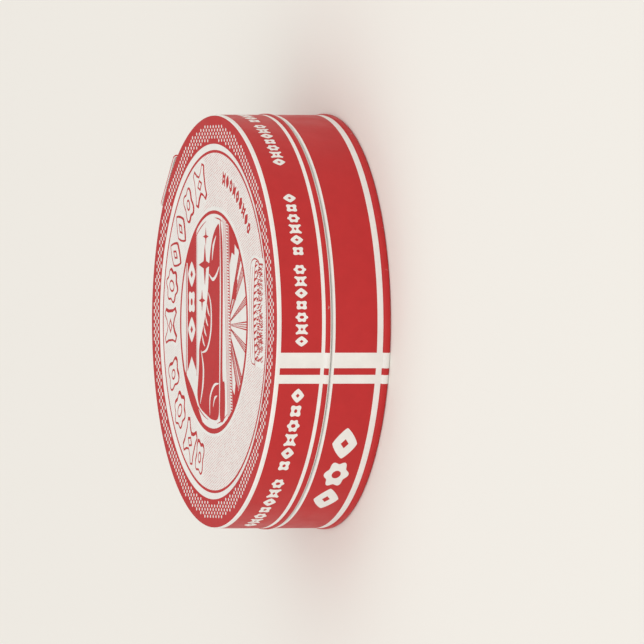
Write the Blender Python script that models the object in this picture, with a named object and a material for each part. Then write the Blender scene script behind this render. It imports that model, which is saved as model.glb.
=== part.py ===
"""Round shoe polish tin: a push-on lid over a drawn pan of wax polish, with a riveted twist key.

Units are metres. The tin stands on its foot at z = 0 and +Z points up through the lid.
"""

import math

import bmesh
import bpy
from mathutils import Vector

# Outside of the tin
TIN_HEIGHT = 0.0253
BODY_RADIUS = 0.0440
BEAD_RADIUS = 0.04425
LID_EDGE_HEIGHT = 0.0132  # underside of the lid's curled edge
SHEET = 0.00035
GAP = 0.0003

# Lid
SHOULDER_RADIUS = 0.0006
PANEL_STEP = 0.00025
PANEL_RADIUS = 0.0366
STEP_OUTER_RADIUS = 0.0377
LID_TOP_SHEET = 0.0004

# Pan
NECK_RADIUS = BODY_RADIUS - SHEET - GAP  # outside of the wall that the lid slides over
NECK_BASE = 0.0129
PAN_SHOULDER = 0.01245
RIM_HEIGHT = 0.0243
RIM_CURL_RADIUS = 0.0005
FOOT_INNER_RADIUS = 0.0410
FLOOR_RECESS = 0.00085
FLOOR_SHEET = 0.0004

# Polish
POLISH_EDGE_HEIGHT = 0.01675
POLISH_CENTRE_HEIGHT = 0.0159

# Twist key and its rivet
KEY_AZIMUTH = math.radians(47.7)
KEY_PIVOT_HEIGHT = 0.0106
KEY_INNER_FACE = 0.0446
KEY_THICKNESS = 0.0006
KEY_TOP = 0.0251
UPPER_WING_HALF_WIDTH = 0.0075
LOWER_WING_HALF_WIDTH = 0.0060
LOWER_WING_LENGTH = 0.0092
WAIST_HALF_WIDTH = 0.0042
CAM_RADIUS = 0.0019
CAM_OFFSET = 0.00035
CAM_INNER_FACE = BODY_RADIUS + GAP
KEY_HOLE_RADIUS = 0.00088
SHANK_RADIUS = 0.0008
WALL_HOLE_RADIUS = 0.0009
RIVET_HEAD_RADIUS = 0.0023
RIVET_HEAD_HEIGHT = 0.0007
CLENCH_RADIUS = 0.0013
CLENCH_DEPTH = 0.00045

ROUND_STEPS = 96
SMALL_STEPS = 24

RED = (0.503, 0.041, 0.041)
DARK_WAX = (0.085, 0.012, 0.010)
STEEL = (0.56, 0.56, 0.55)


def clear_scene():
    for obj in list(bpy.data.objects):
        bpy.data.objects.remove(obj, do_unlink=True)


def make_material(name, colour, metallic, roughness):
    material = bpy.data.materials.new(name)
    material.use_nodes = True
    shader = material.node_tree.nodes["Principled BSDF"]
    shader.inputs["Base Color"].default_value = (*colour, 1)
    shader.inputs["Metallic"].default_value = metallic
    shader.inputs["Roughness"].default_value = roughness
    return material


def add_object(name, mesh, material=None):
    obj = bpy.data.objects.new(name, mesh)
    bpy.context.scene.collection.objects.link(obj)
    if material:
        mesh.materials.append(material)
    return obj


def arc(centre_r, centre_z, radius, start, end, count):
    """Points of a profile's arc, angles in degrees from the +r direction."""
    points = []
    for i in range(count + 1):
        angle = math.radians(start + (end - start) * i / count)
        points.append((centre_r + radius * math.cos(angle), centre_z + radius * math.sin(angle)))
    return points


def add_turned(name, profile, steps, material=None):
    """A solid of revolution about its own Z: the profile runs out, down its outer side and back in."""
    mesh = bpy.data.meshes.new(name)
    mesh.from_pydata([(r, 0, z) for r, z in profile], [(i, i + 1) for i in range(len(profile) - 1)], [])
    obj = add_object(name, mesh, material)
    screw = obj.modifiers.new("Turn", "SCREW")
    screw.axis = "Z"
    screw.angle = 2 * math.pi
    screw.steps = screw.render_steps = steps
    screw.use_merge_vertices = True
    screw.merge_threshold = 0.00001
    screw.use_smooth_shade = True
    return obj


def add_cylinder(name, radius, low, high, steps, material=None):
    return add_turned(name, [(0, high), (radius, high), (radius, low), (0, low)], steps, material)


def rounded_outline(corners, count):
    """A closed outline whose corners (y, z, radius) are replaced by arcs."""
    points = []
    for i, (y, z, radius) in enumerate(corners):
        here = Vector((y, z))
        before = (Vector(corners[i - 1][:2]) - here).normalized()
        after = (Vector(corners[(i + 1) % len(corners)][:2]) - here).normalized()
        half = before.angle(after) / 2
        centre = here + (before + after).normalized() * radius / math.sin(half)
        start = here + before * radius / math.tan(half) - centre
        end = here + after * radius / math.tan(half) - centre
        first = math.atan2(start.y, start.x)
        turn = math.atan2(end.y, end.x) - first
        turn = (turn + math.pi) % (2 * math.pi) - math.pi
        for k in range(count + 1):
            angle = first + turn * k / count
            points.append(centre + radius * Vector((math.cos(angle), math.sin(angle))))
    return points


def place_on_key_axis(obj):
    """Turn a shape made along its own Z so that it lies along the key's radial axis."""
    obj.rotation_euler = (0, math.pi / 2, KEY_AZIMUTH)
    obj.location = (0, 0, KEY_PIVOT_HEIGHT)


def boolean(obj, other, operation):
    modifier = obj.modifiers.new(operation.title(), "BOOLEAN")
    modifier.object = other
    modifier.operation = operation
    modifier.solver = "EXACT"
    other.hide_render = True
    other.display_type = "WIRE"


def bake_modifiers(obj, smooth_angle=40):
    """Replace the modifiers by their result, shaded smooth between real corners."""
    bpy.context.view_layer.update()
    graph = bpy.context.evaluated_depsgraph_get()
    mesh = bpy.data.meshes.new_from_object(obj.evaluated_get(graph))
    mesh.name = obj.name
    obj.modifiers.clear()
    obj.data = mesh
    mesh.shade_smooth()
    mesh.set_sharp_from_angle(angle=math.radians(smooth_angle))


def remove_helpers(*helpers):
    for helper in helpers:
        bpy.data.objects.remove(helper, do_unlink=True)


def lid_profile():
    panel = TIN_HEIGHT - PANEL_STEP
    under = TIN_HEIGHT - LID_TOP_SHEET
    inner_radius = BODY_RADIUS - SHEET
    edge = LID_EDGE_HEIGHT
    shoulder_z = TIN_HEIGHT - SHOULDER_RADIUS
    inner_turn = 0.0003
    return [
        (0, panel),
        (PANEL_RADIUS, panel),
        (STEP_OUTER_RADIUS, TIN_HEIGHT),
        *arc(BODY_RADIUS - SHOULDER_RADIUS, shoulder_z, SHOULDER_RADIUS, 90, 0, 6),
        # the curled edge stands out as a thin bead
        (BODY_RADIUS, edge + 0.00115),
        (BEAD_RADIUS - 0.00008, edge + 0.00100),
        (BEAD_RADIUS, edge + 0.00078),
        (BEAD_RADIUS, edge + 0.00034),
        (BEAD_RADIUS - 0.00008, edge + 0.00010),
        (BEAD_RADIUS - 0.00028, edge),
        (inner_radius + 0.00010, edge),
        (inner_radius, edge + 0.00010),
        *arc(inner_radius - inner_turn, under - inner_turn, inner_turn, 0, 90, 4),
        (STEP_OUTER_RADIUS - 0.00012, under),
        (PANEL_RADIUS - 0.00012, under - PANEL_STEP),
        (0, under - PANEL_STEP),
    ]


def pan_profile():
    inner_neck = NECK_RADIUS - SHEET
    inner_wall = BODY_RADIUS - SHEET
    floor = FLOOR_RECESS + FLOOR_SHEET
    curl_r = NECK_RADIUS - RIM_CURL_RADIUS
    curl_z = RIM_HEIGHT - RIM_CURL_RADIUS
    turn = 0.00075
    return [
        (0, floor),
        (FOOT_INNER_RADIUS - 0.00063, floor),
        (FOOT_INNER_RADIUS + 0.00017, FLOOR_SHEET),
        *arc(inner_wall - turn, FLOOR_SHEET + turn, turn, -90, 0, 3),
        (inner_wall, PAN_SHOULDER - 0.0007),
        (inner_neck, NECK_BASE - 0.0004),
        # the rim is curled inwards
        *arc(curl_r, curl_z, RIM_CURL_RADIUS, 287, 0, 9),
        (NECK_RADIUS, NECK_BASE),
        (NECK_RADIUS + 0.00035, NECK_BASE - 0.00010),
        (BODY_RADIUS, PAN_SHOULDER),
        # bead round the foot
        (BODY_RADIUS, 0.00155),
        (BEAD_RADIUS - 0.00006, 0.00132),
        (BEAD_RADIUS, 0.00105),
        (BEAD_RADIUS, 0.00060),
        (BEAD_RADIUS - 0.00013, 0.00020),
        (BEAD_RADIUS - 0.00045, 0),
        (FOOT_INNER_RADIUS, 0),
        (FOOT_INNER_RADIUS - 0.0008, FLOOR_RECESS),
        (0, FLOOR_RECESS),
    ]


def polish_profile():
    neck = NECK_RADIUS - SHEET - GAP
    wall = BODY_RADIUS - SHEET - GAP
    rise = POLISH_EDGE_HEIGHT - POLISH_CENTRE_HEIGHT
    bottom = FLOOR_RECESS + FLOOR_SHEET + GAP
    return [
        (0, POLISH_CENTRE_HEIGHT),
        (0.0200, POLISH_CENTRE_HEIGHT + rise * 0.06),
        (0.0330, POLISH_CENTRE_HEIGHT + rise * 0.18),
        (0.0395, POLISH_CENTRE_HEIGHT + rise * 0.36),
        (0.0417, POLISH_CENTRE_HEIGHT + rise * 0.60),
        (0.0424, POLISH_CENTRE_HEIGHT + rise * 0.85),
        (neck, POLISH_EDGE_HEIGHT),
        (neck, NECK_BASE - 0.00055),
        (wall, PAN_SHOULDER - 0.00085),
        (wall, 0.00130),
        (wall - 0.0005, FLOOR_SHEET + 0.00035),
        (FOOT_INNER_RADIUS + 0.0003, FLOOR_SHEET + 0.00035),
        (FOOT_INNER_RADIUS - 0.0005, bottom),
        (0, bottom),
    ]


def build_lid(material):
    lid = add_turned("lid", lid_profile(), ROUND_STEPS, material)
    bake_modifiers(lid)
    return lid


def build_pan(material):
    pan = add_turned("base_pan", pan_profile(), ROUND_STEPS, material)
    hole = add_cylinder("rivet_hole", WALL_HOLE_RADIUS, BODY_RADIUS - 0.002, BODY_RADIUS + 0.002, SMALL_STEPS)
    place_on_key_axis(hole)
    boolean(pan, hole, "DIFFERENCE")
    bake_modifiers(pan)
    remove_helpers(hole)
    return pan


def build_polish(material):
    polish = add_turned("polish", polish_profile(), ROUND_STEPS, material)
    wall = BODY_RADIUS - SHEET
    pocket = add_cylinder("rivet_pocket", CLENCH_RADIUS + 0.0004, wall - 0.0011, wall + 0.002, SMALL_STEPS)
    place_on_key_axis(pocket)
    boolean(polish, pocket, "DIFFERENCE")
    bake_modifiers(polish)
    remove_helpers(pocket)
    return polish


def key_plate_mesh():
    """The key's flat plate, upright beside its pivot. Local X points out from the tin."""
    top = KEY_TOP - KEY_PIVOT_HEIGHT
    right_side = [
        (LOWER_WING_HALF_WIDTH, -LOWER_WING_LENGTH, 0.0025),
        (WAIST_HALF_WIDTH, -0.0026, 0.0020),
        (WAIST_HALF_WIDTH, 0.0032, 0.0020),
        (UPPER_WING_HALF_WIDTH, top, 0.0007),
    ]
    left_side = [(-y, z, radius) for y, z, radius in reversed(right_side)]
    outline = rounded_outline(right_side + left_side, 5)
    mesh = bpy.data.meshes.new("twist_key")
    shape = bmesh.new()
    face = shape.faces.new([shape.verts.new((KEY_INNER_FACE, p.x, p.y)) for p in outline])
    pushed = bmesh.ops.extrude_face_region(shape, geom=[face])
    moved = [v for v in pushed["geom"] if isinstance(v, bmesh.types.BMVert)]
    bmesh.ops.translate(shape, verts=moved, vec=(KEY_THICKNESS, 0, 0))
    bmesh.ops.recalc_face_normals(shape, faces=shape.faces)
    shape.to_mesh(mesh)
    shape.free()
    return mesh


def build_key(material, pivot):
    key = add_object("twist_key", key_plate_mesh(), material)
    bevel = key.modifiers.new("Edge", "BEVEL")
    bevel.width = 0.00012
    bevel.segments = 2
    bevel.limit_method = "ANGLE"
    bevel.angle_limit = math.radians(50)
    cam = add_cylinder("cam", CAM_RADIUS, CAM_INNER_FACE, KEY_INNER_FACE + KEY_THICKNESS / 3, SMALL_STEPS * 2)
    cam.rotation_euler = (0, math.pi / 2, 0)
    cam.location = (0, CAM_OFFSET, 0)
    hole = add_cylinder("key_hole", KEY_HOLE_RADIUS, BODY_RADIUS - 0.001, BODY_RADIUS + 0.003, SMALL_STEPS)
    hole.rotation_euler = (0, math.pi / 2, 0)
    boolean(key, cam, "UNION")
    boolean(key, hole, "DIFFERENCE")
    bake_modifiers(key)
    remove_helpers(cam, hole)
    key.parent = pivot
    return key


def build_rivet(material):
    wall = BODY_RADIUS - SHEET
    clench_top = wall - 0.0002
    clench = clench_top - CLENCH_DEPTH
    head = KEY_INNER_FACE + KEY_THICKNESS + 0.00015
    dome = [
        (RIVET_HEAD_RADIUS * math.sin(math.radians(a)), head + RIVET_HEAD_HEIGHT * math.cos(math.radians(a)))
        for a in (0, 18, 36, 54, 70, 82)
    ]
    profile = [
        *dome,
        (RIVET_HEAD_RADIUS, head),
        (SHANK_RADIUS, head),
        (SHANK_RADIUS, clench_top),
        (CLENCH_RADIUS, clench_top - 0.00005),
        (CLENCH_RADIUS - 0.0001, clench),
        (0, clench),
    ]
    rivet = add_turned("key_rivet", profile, SMALL_STEPS, material)
    place_on_key_axis(rivet)
    bake_modifiers(rivet)
    return rivet


def build_tin():
    clear_scene()
    lid_paint = make_material("lid_paint", RED, 0.0, 0.38)
    pan_paint = make_material("pan_paint", RED, 0.0, 0.38)
    wax = make_material("wax", DARK_WAX, 0.0, 0.45)
    key_steel = make_material("key_steel", STEEL, 1.0, 0.35)
    rivet_steel = make_material("rivet_steel", STEEL, 1.0, 0.30)

    pivot = bpy.data.objects.new("key_pivot", None)
    bpy.context.scene.collection.objects.link(pivot)
    pivot.location = (0, 0, KEY_PIVOT_HEIGHT)
    pivot.rotation_euler = (0, 0, KEY_AZIMUTH)
    pivot.empty_display_size = 0.005

    build_lid(lid_paint)
    build_pan(pan_paint)
    build_polish(wax)
    build_key(key_steel, pivot)
    build_rivet(rivet_steel)
    bpy.context.view_layer.update()


build_tin()
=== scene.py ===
import math
import random

import bmesh
import bpy
from mathutils import Matrix, Vector
from mathutils.geometry import tessellate_polygon


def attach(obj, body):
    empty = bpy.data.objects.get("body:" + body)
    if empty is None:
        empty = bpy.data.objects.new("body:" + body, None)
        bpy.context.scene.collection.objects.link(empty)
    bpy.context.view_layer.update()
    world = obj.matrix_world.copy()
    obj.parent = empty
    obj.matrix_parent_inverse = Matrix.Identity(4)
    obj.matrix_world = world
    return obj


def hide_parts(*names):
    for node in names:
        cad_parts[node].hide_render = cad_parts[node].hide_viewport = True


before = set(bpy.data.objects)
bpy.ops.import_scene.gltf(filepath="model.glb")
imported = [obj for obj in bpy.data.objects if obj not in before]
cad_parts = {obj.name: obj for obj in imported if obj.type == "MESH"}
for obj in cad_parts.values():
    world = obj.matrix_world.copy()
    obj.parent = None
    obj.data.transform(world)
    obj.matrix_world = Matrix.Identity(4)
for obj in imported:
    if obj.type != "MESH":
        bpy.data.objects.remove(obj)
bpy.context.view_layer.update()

mm = 0.001
scene = bpy.context.scene
scene.view_settings.view_transform = "Standard"  # printed inks keep their own colours

# sizes of the whole tin, mm; the same as the solids
tin = {
    "bodyRadius": 44.0,
    "beadRadius": 44.25,
    "top": 25.3,
    "panelStep": 0.25,      # how far the middle of the lid is pressed down
    "sheet": 0.35,
    "lidEdge": 13.2,
    "panShoulder": 12.45,
    "neckRadius": 43.35,
    "panRim": 24.3,
    "turnSteps": 192,
    "crease": 32,           # degrees from which an edge stays sharp
}
panelTop = tin["top"] - tin["panelStep"]

# inks as linear colours
inks = {
    "red": (0.492, 0.029, 0.030),
    "cream": (0.800, 0.776, 0.735),
    "tin": (0.66, 0.65, 0.62),
}


# mesh and node helpers

def takeMesh(name, bm, crease=None):
    mesh = bpy.data.meshes.new(name)
    bm.to_mesh(mesh)
    bm.free()
    if crease:
        mesh.set_sharp_from_angle(angle=math.radians(crease))
    return mesh


def addObject(name, data):
    obj = bpy.data.objects.new(name, data)
    scene.collection.objects.link(obj)
    return obj


def newMaterial(name):
    mat = bpy.data.materials.new(name)
    mat.use_nodes = True
    tree = mat.node_tree
    shader = tree.nodes["Principled BSDF"]
    return mat, tree, shader


def addNode(tree, kind, x=0, y=0, **settings):
    node = tree.nodes.new(kind)
    node.location = (x, y)
    for key, value in settings.items():
        setattr(node, key, value)
    return node


def mathNode(tree, operation, a, b=None, c=None):
    node = addNode(tree, "ShaderNodeMath", operation=operation)
    for i, value in enumerate((a, b, c)):
        if value is None:
            continue
        if isinstance(value, (int, float)):
            node.inputs[i].default_value = value
        else:
            tree.links.new(value, node.inputs[i])
    return node.outputs[0]


def times(tree, a, b):
    return mathNode(tree, "MULTIPLY", a, b)


def objectPoint(tree):
    return addNode(tree, "ShaderNodeTexCoord", -1400, 0).outputs["Object"]


def pointParts(tree):
    parts = addNode(tree, "ShaderNodeSeparateXYZ", -1200, 300)
    tree.links.new(objectPoint(tree), parts.inputs["Vector"])
    return parts.outputs["X"], parts.outputs["Y"]


def noiseValue(tree, scale, detail=3.0, roughness=0.5, stretch=None, turn=0.0):
    point = objectPoint(tree)
    if stretch or turn:
        mapping = addNode(tree, "ShaderNodeMapping", -1200, 0)
        mapping.inputs["Scale"].default_value = stretch or (1, 1, 1)
        mapping.inputs["Rotation"].default_value = (0, 0, turn)
        tree.links.new(point, mapping.inputs["Vector"])
        point = mapping.outputs["Vector"]
    node = addNode(tree, "ShaderNodeTexNoise", -1000, 0)
    node.inputs["Scale"].default_value = scale
    node.inputs["Detail"].default_value = detail
    node.inputs["Roughness"].default_value = roughness
    tree.links.new(point, node.inputs["Vector"])
    return node.outputs["Fac"]


def rampValue(tree, value, low, high, outLow=0.0, outHigh=1.0):
    node = addNode(tree, "ShaderNodeMapRange", -600, 0, interpolation_type="SMOOTHSTEP")
    tree.links.new(value, node.inputs["Value"])
    for name, number in (("From Min", low), ("From Max", high), ("To Min", outLow), ("To Max", outHigh)):
        node.inputs[name].default_value = number
    return node.outputs["Result"]


def mixColours(tree, factor, a, b):
    node = addNode(tree, "ShaderNodeMix", -300, 0, data_type="RGBA")
    tree.links.new(factor, node.inputs["Factor"])
    for socket, value in ((node.inputs[6], a), (node.inputs[7], b)):
        if isinstance(value, tuple):
            socket.default_value = (*value, 1)
        else:
            tree.links.new(value, socket)
    return node.outputs[2]


def addBump(tree, shader, height, distance):
    node = addNode(tree, "ShaderNodeBump", -300, -400)
    node.inputs["Distance"].default_value = distance
    node.inputs["Strength"].default_value = 1.0
    tree.links.new(height, node.inputs["Height"])
    tree.links.new(node.outputs["Normal"], shader.inputs["Normal"])


def shade(colour, amount):
    return tuple(max(0.0, min(1.0, c * amount)) for c in colour)


# printed and bare tinplate

inkLook = {
    "densityScale": 260,
    "mottle": 0.05,         # how much the ink's density wanders
    "roughness": (0.38, 0.50),
    "cloudScale": 140,
    "specular": 0.13,
    "coat": 0.03,
    "coatRoughness": 0.18,
    "peel": 0.0000035,      # height of the lacquer's ripple, m
    "rippleScale": 1500,
    "grainScale": 7000,
    "grainShare": 0.3,
    "hairScale": 90,
    "hairStretch": (1, 38, 1),
    "hairTurn": 0.7,
    "hairRange": (0.70, 0.76),
    "hairRough": 0.10,
    "hairDepth": 0.6,
    "wearFrom": 44.13,      # mm from the axis: only the beads stand out this far
    "wearBlend": 0.1,
    "fleckRange": (0.66, 0.74),
    "patchRange": (0.50, 0.62),
}


def wornEdge(tree, look):
    # bare metal in small flecks where a bead has rubbed
    x, y = pointParts(tree)
    radius = mathNode(tree, "SQRT", mathNode(tree, "ADD", times(tree, x, x), times(tree, y, y)))
    wearFrom = look["wearFrom"]
    onBead = rampValue(tree, radius, wearFrom * mm, (wearFrom + look["wearBlend"]) * mm)
    flecks = rampValue(tree, noiseValue(tree, 900, 4, 0.6), *look["fleckRange"])
    patches = rampValue(tree, noiseValue(tree, 60, 2), *look["patchRange"])
    return times(tree, onBead, times(tree, flecks, patches))


def lacquerSurface(tree, shader, look):
    # fine ripple of stoved lacquer, with a few hair scratches
    cloud = noiseValue(tree, look["cloudScale"], 4, 0.6)
    scratches = noiseValue(tree, look["hairScale"], 2, 0.5, look["hairStretch"], look["hairTurn"])
    hairs = rampValue(tree, scratches, *look["hairRange"])
    smooth = rampValue(tree, cloud, 0.3, 0.7, *look["roughness"])
    rough = mathNode(tree, "MULTIPLY_ADD", hairs, look["hairRough"], smooth)
    tree.links.new(rough, shader.inputs["Roughness"])
    ripple = noiseValue(tree, look["rippleScale"], 2, 0.5)
    grain = noiseValue(tree, look["grainScale"], 1, 0.5)
    height = mathNode(tree, "ADD", ripple, times(tree, grain, look["grainShare"]))
    height = mathNode(tree, "SUBTRACT", height, times(tree, hairs, look["hairDepth"]))
    addBump(tree, shader, height, look["peel"])
    shader.inputs["Specular IOR Level"].default_value = look["specular"]
    shader.inputs["Coat Weight"].default_value = look["coat"]
    shader.inputs["Coat Roughness"].default_value = look["coatRoughness"]


def makeInk(name, colour, look=inkLook, hatch=None):
    mat, tree, shader = newMaterial(name)
    density = rampValue(tree, noiseValue(tree, look["densityScale"], 5, 0.65), 0.25, 0.75)
    thin, full = shade(colour, 1 - look["mottle"]), shade(colour, 1 + look["mottle"] * 0.5)
    base = mixColours(tree, density, thin, full)
    if hatch:
        base = mixColours(tree, hatchLines(tree, hatch), base, hatch["colour"])
    worn = wornEdge(tree, look)
    base = mixColours(tree, worn, base, inks["tin"])
    tree.links.new(base, shader.inputs["Base Color"])
    tree.links.new(worn, shader.inputs["Metallic"])
    lacquerSurface(tree, shader, look)
    return mat


fieldHatch = {
    "pitch": 0.56,          # mm between lines
    "width": 0.17,
    "lean": math.radians(19.6),
    "wobble": 0.12,         # mm, how unsteady the lines are
    "strength": 0.55,
    "breakPitch": 0.62,     # mm between the thin places along a line
    "breakDepth": 0.55,     # how much fainter they are
    "breakDrift": 1.1,      # mm they are shifted about
    "speckleScale": 2300,
    "speckle": (0.45, 1.45),  # uneven ink along the lines
    "plainFrom": (6.5, 8.5),  # mm towards +Y, where the ground turns plain behind the ornaments
    "plainLeft": 0.30,      # what is left of the hatch there
    "colour": (0.560, 0.030, 0.034),
}


def hatchLines(tree, hatch):
    x, y = pointParts(tree)
    c, s = math.cos(hatch["lean"]), math.sin(hatch["lean"])

    def along(cx, cy):
        return mathNode(tree, "ADD", times(tree, x, cx), times(tree, y, cy))

    wobble = times(tree, noiseValue(tree, 500, 1), hatch["wobble"] * mm)
    across = mathNode(tree, "ADD", along(c, s), wobble)
    fold = mathNode(tree, "PINGPONG", across, hatch["pitch"] * mm / 2)
    width = hatch["width"] * mm
    line = rampValue(tree, fold, width * 0.7, width * 0.3)
    # every line thins out at short steps, shifted about by a slow noise
    drift = times(tree, noiseValue(tree, 900, 2), hatch["breakDrift"] * mm)
    full = hatch["breakPitch"] * mm / 2
    step = mathNode(tree, "PINGPONG", mathNode(tree, "ADD", along(-s, c), drift), full)
    ink = rampValue(tree, step, full * 0.2, full * 0.6, 1 - hatch["breakDepth"], 1.0)
    grains = noiseValue(tree, hatch["speckleScale"], 2, 0.6)
    speckle = rampValue(tree, grains, 0.38, 0.62, *hatch["speckle"])
    low, high = hatch["plainFrom"]
    plain = rampValue(tree, y, low * mm, high * mm, 1.0, hatch["plainLeft"])
    for factor in (ink, speckle, plain, hatch["strength"]):
        line = times(tree, line, factor)
    return line


tinLook = {
    "tint": (0.66, 0.63, 0.56),
    "cloudScale": 120,
    "spangleScale": 900,
    "roughness": (0.30, 0.42),
    "spangleRough": 0.08,
    "grainScale": 5000,
    "grainHeight": 0.000003,  # m
}


def makeBareTin(name, look=tinLook):
    mat, tree, shader = newMaterial(name)
    cloud = noiseValue(tree, look["cloudScale"], 5, 0.6)
    spangle = noiseValue(tree, look["spangleScale"], 2, 0.5)
    base = mixColours(tree, cloud, shade(look["tint"], 0.90), shade(look["tint"], 1.06))
    tree.links.new(base, shader.inputs["Base Color"])
    smooth = rampValue(tree, cloud, 0.3, 0.7, *look["roughness"])
    rough = mathNode(tree, "ADD", smooth, times(tree, spangle, look["spangleRough"]))
    tree.links.new(rough, shader.inputs["Roughness"])
    shader.inputs["Metallic"].default_value = 1.0
    grain = noiseValue(tree, look["grainScale"], 2)
    addBump(tree, shader, mathNode(tree, "ADD", spangle, grain), look["grainHeight"])
    return mat


redInk = makeInk("redInk", inks["red"])
creamInk = makeInk("creamInk", inks["cream"])
hatchInk = makeInk("hatchInk", inks["cream"], hatch=fieldHatch)
bareTin = makeBareTin("bareTin")
zoneMaterials = {"red": redInk, "cream": creamInk, "hatch": hatchInk, "tin": bareTin}
print("inks and tinplate ready")


# shells turned about the tin's axis, with the print's zones as real edges; the cream on the lid's shoulder
# and bead and in the seam is painted highlight and painted light

# cream stripes that cross both walls, degrees round from the front (-Y) towards +X
wallStripes = [(-17.3, -14.8), (-12.9, -8.6)]


def turnAngles():
    step = 360 / tin["turnSteps"]
    edges = [a for pair in wallStripes for a in pair]
    angles = [a for a in (i * step - 180 for i in range(tin["turnSteps"]))
              if all(abs(a - e) > step * 0.3 for e in edges)]
    return sorted(angles + edges)


def wallPoint(radius, angle, z):
    a = math.radians(angle)
    return Vector((radius * math.sin(a), -radius * math.cos(a), z)) * mm


def inStripe(angle):
    return any(low <= angle <= high for low, high in wallStripes)


# profile points are (radius, z, zone of the strip that follows)
def turnShell(name, profile):
    angles = turnAngles()
    zones = sorted({p[2] for p in profile if p[2]} - {"band"} | {"red", "cream"})
    bm = bmesh.new()
    rings = []
    for radius, z, zone in profile:
        if radius == 0:
            rings.append([bm.verts.new((0, 0, z * mm))])
        else:
            rings.append([bm.verts.new(wallPoint(radius, a, z)) for a in angles])
    count = len(angles)
    for i in range(len(profile) - 1):
        zone = profile[i][2]
        for k in range(count):
            n = (k + 1) % count
            a, b = rings[i], rings[i + 1]
            corners = [a[k % len(a)], b[k % len(b)], b[n % len(b)], a[n % len(a)]]
            corners = list(dict.fromkeys(corners))
            face = bm.faces.new(corners)
            face.smooth = True
            middle = (angles[k] + (angles[n] if n else angles[0] + 360)) / 2
            used = zone
            if zone == "band":
                used = "cream" if inStripe(middle) else "red"
            face.material_index = zones.index(used)
    bmesh.ops.recalc_face_normals(bm, faces=bm.faces)
    mesh = takeMesh(name, bm, tin["crease"])
    for zone in zones:
        mesh.materials.append(zoneMaterials[zone])
    return addObject(name, mesh)


def arc(centreR, centreZ, radius, start, end, count, zone):
    points = []
    for i in range(count + 1):
        a = math.radians(start + (end - start) * i / count)
        points.append((centreR + radius * math.cos(a), centreZ + radius * math.sin(a), zone))
    return points


lidShape = {
    "fieldInner": 24.5,
    "fieldOuter": 35.9,
    "lineOuter": 36.5,
    "ringInner": 37.8,      # where the red ring starts, at the top of the step
    "ringMiddle": 40.4,
    "shoulder": 0.6,
    "redTo": 50.0,          # degrees up the shoulder where red gives way to cream, a painted highlight along the edge
    "bandTop": 24.25,
    "bandMiddle": 19.7,
    "bandFoot": 15.27,
    "beadTop": 14.48,
    "topSheet": 0.4,
    "insideCorner": 0.3,
    "stepUnder": (37.58, 36.48),
}


def makeLid():
    s, r, edge = lidShape, tin["bodyRadius"], tin["lidEdge"]
    bead = tin["beadRadius"]
    inner = r - tin["sheet"]
    under = tin["top"] - s["topSheet"]
    profile = [
        (0, panelTop, "cream"),
        (s["fieldInner"], panelTop, "hatch"),
        (s["fieldOuter"], panelTop, "red"),
        (s["lineOuter"], panelTop, "cream"),
        (s["lineOuter"] + 0.12, panelTop + 0.01, "cream"),
        (s["ringInner"] - 0.16, tin["top"] - 0.015, "cream"),
        (s["ringInner"], tin["top"], "red"),
        (s["ringMiddle"], tin["top"], "red"),
    ]
    centre = (r - s["shoulder"], tin["top"] - s["shoulder"], s["shoulder"])
    profile += arc(*centre, 90, s["redTo"], 4, "red")[:-1]
    # the cream on the shoulder's outer part is a painted highlight along the lid's edge
    profile += arc(*centre, s["redTo"], 0, 6, "cream")[:-1]
    # down the wall, round the bead and under its curled edge; the cream strip just above the bead is a
    # painted highlight
    profile += [
        (r, s["bandTop"], "band"),
        (r, s["bandMiddle"], "band"),
        # painted highlight: a cream strip over the top of the bead
        (r, s["bandFoot"], "cream"),
        (r, s["beadTop"], "band"),
        (bead - 0.13, edge + 1.03, "band"),
        (bead - 0.04, edge + 0.92, "band"),
        (bead, edge + 0.74, "band"),
        (bead, edge + 0.40, "band"),
        # painted light: cream under the curl lightens the shade in the seam
        (bead - 0.03, edge + 0.24, "cream"),
        (bead - 0.15, edge + 0.05, "cream"),
        (bead - 0.30, edge, "cream"),
        (inner + 0.10, edge, "tin"),
        (inner, edge + 0.10, "tin"),
    ]
    # up the inside and back to the middle
    corner = s["insideCorner"]
    profile += arc(inner - corner, under - corner, corner, 0, 90, 5, "tin")
    stepOuter, stepInner = s["stepUnder"]
    profile += [
        (stepOuter, under, "tin"),
        (stepInner, under - tin["panelStep"], "tin"),
        (0, under - tin["panelStep"], ""),
    ]
    lid = turnShell("lidShell", profile)
    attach(lid, "lid")
    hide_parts("lid")
    return lid


panShape = {
    "neckCreamTop": 14.1,    # the cream runs this far up the neck, out of sight under the lid; where it shows in the seam it is painted light
    "neckFoot": 13.05,
    "bandTop": 12.28,
    "bandMiddle": 7.3,
    "bandFoot": 2.98,
    "beadTop": 1.70,
    "footInner": 41.0,
    "footCorner": 0.75,
    "recess": 0.85,
    "floorSheet": 0.4,
    "curl": 0.5,
}


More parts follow.
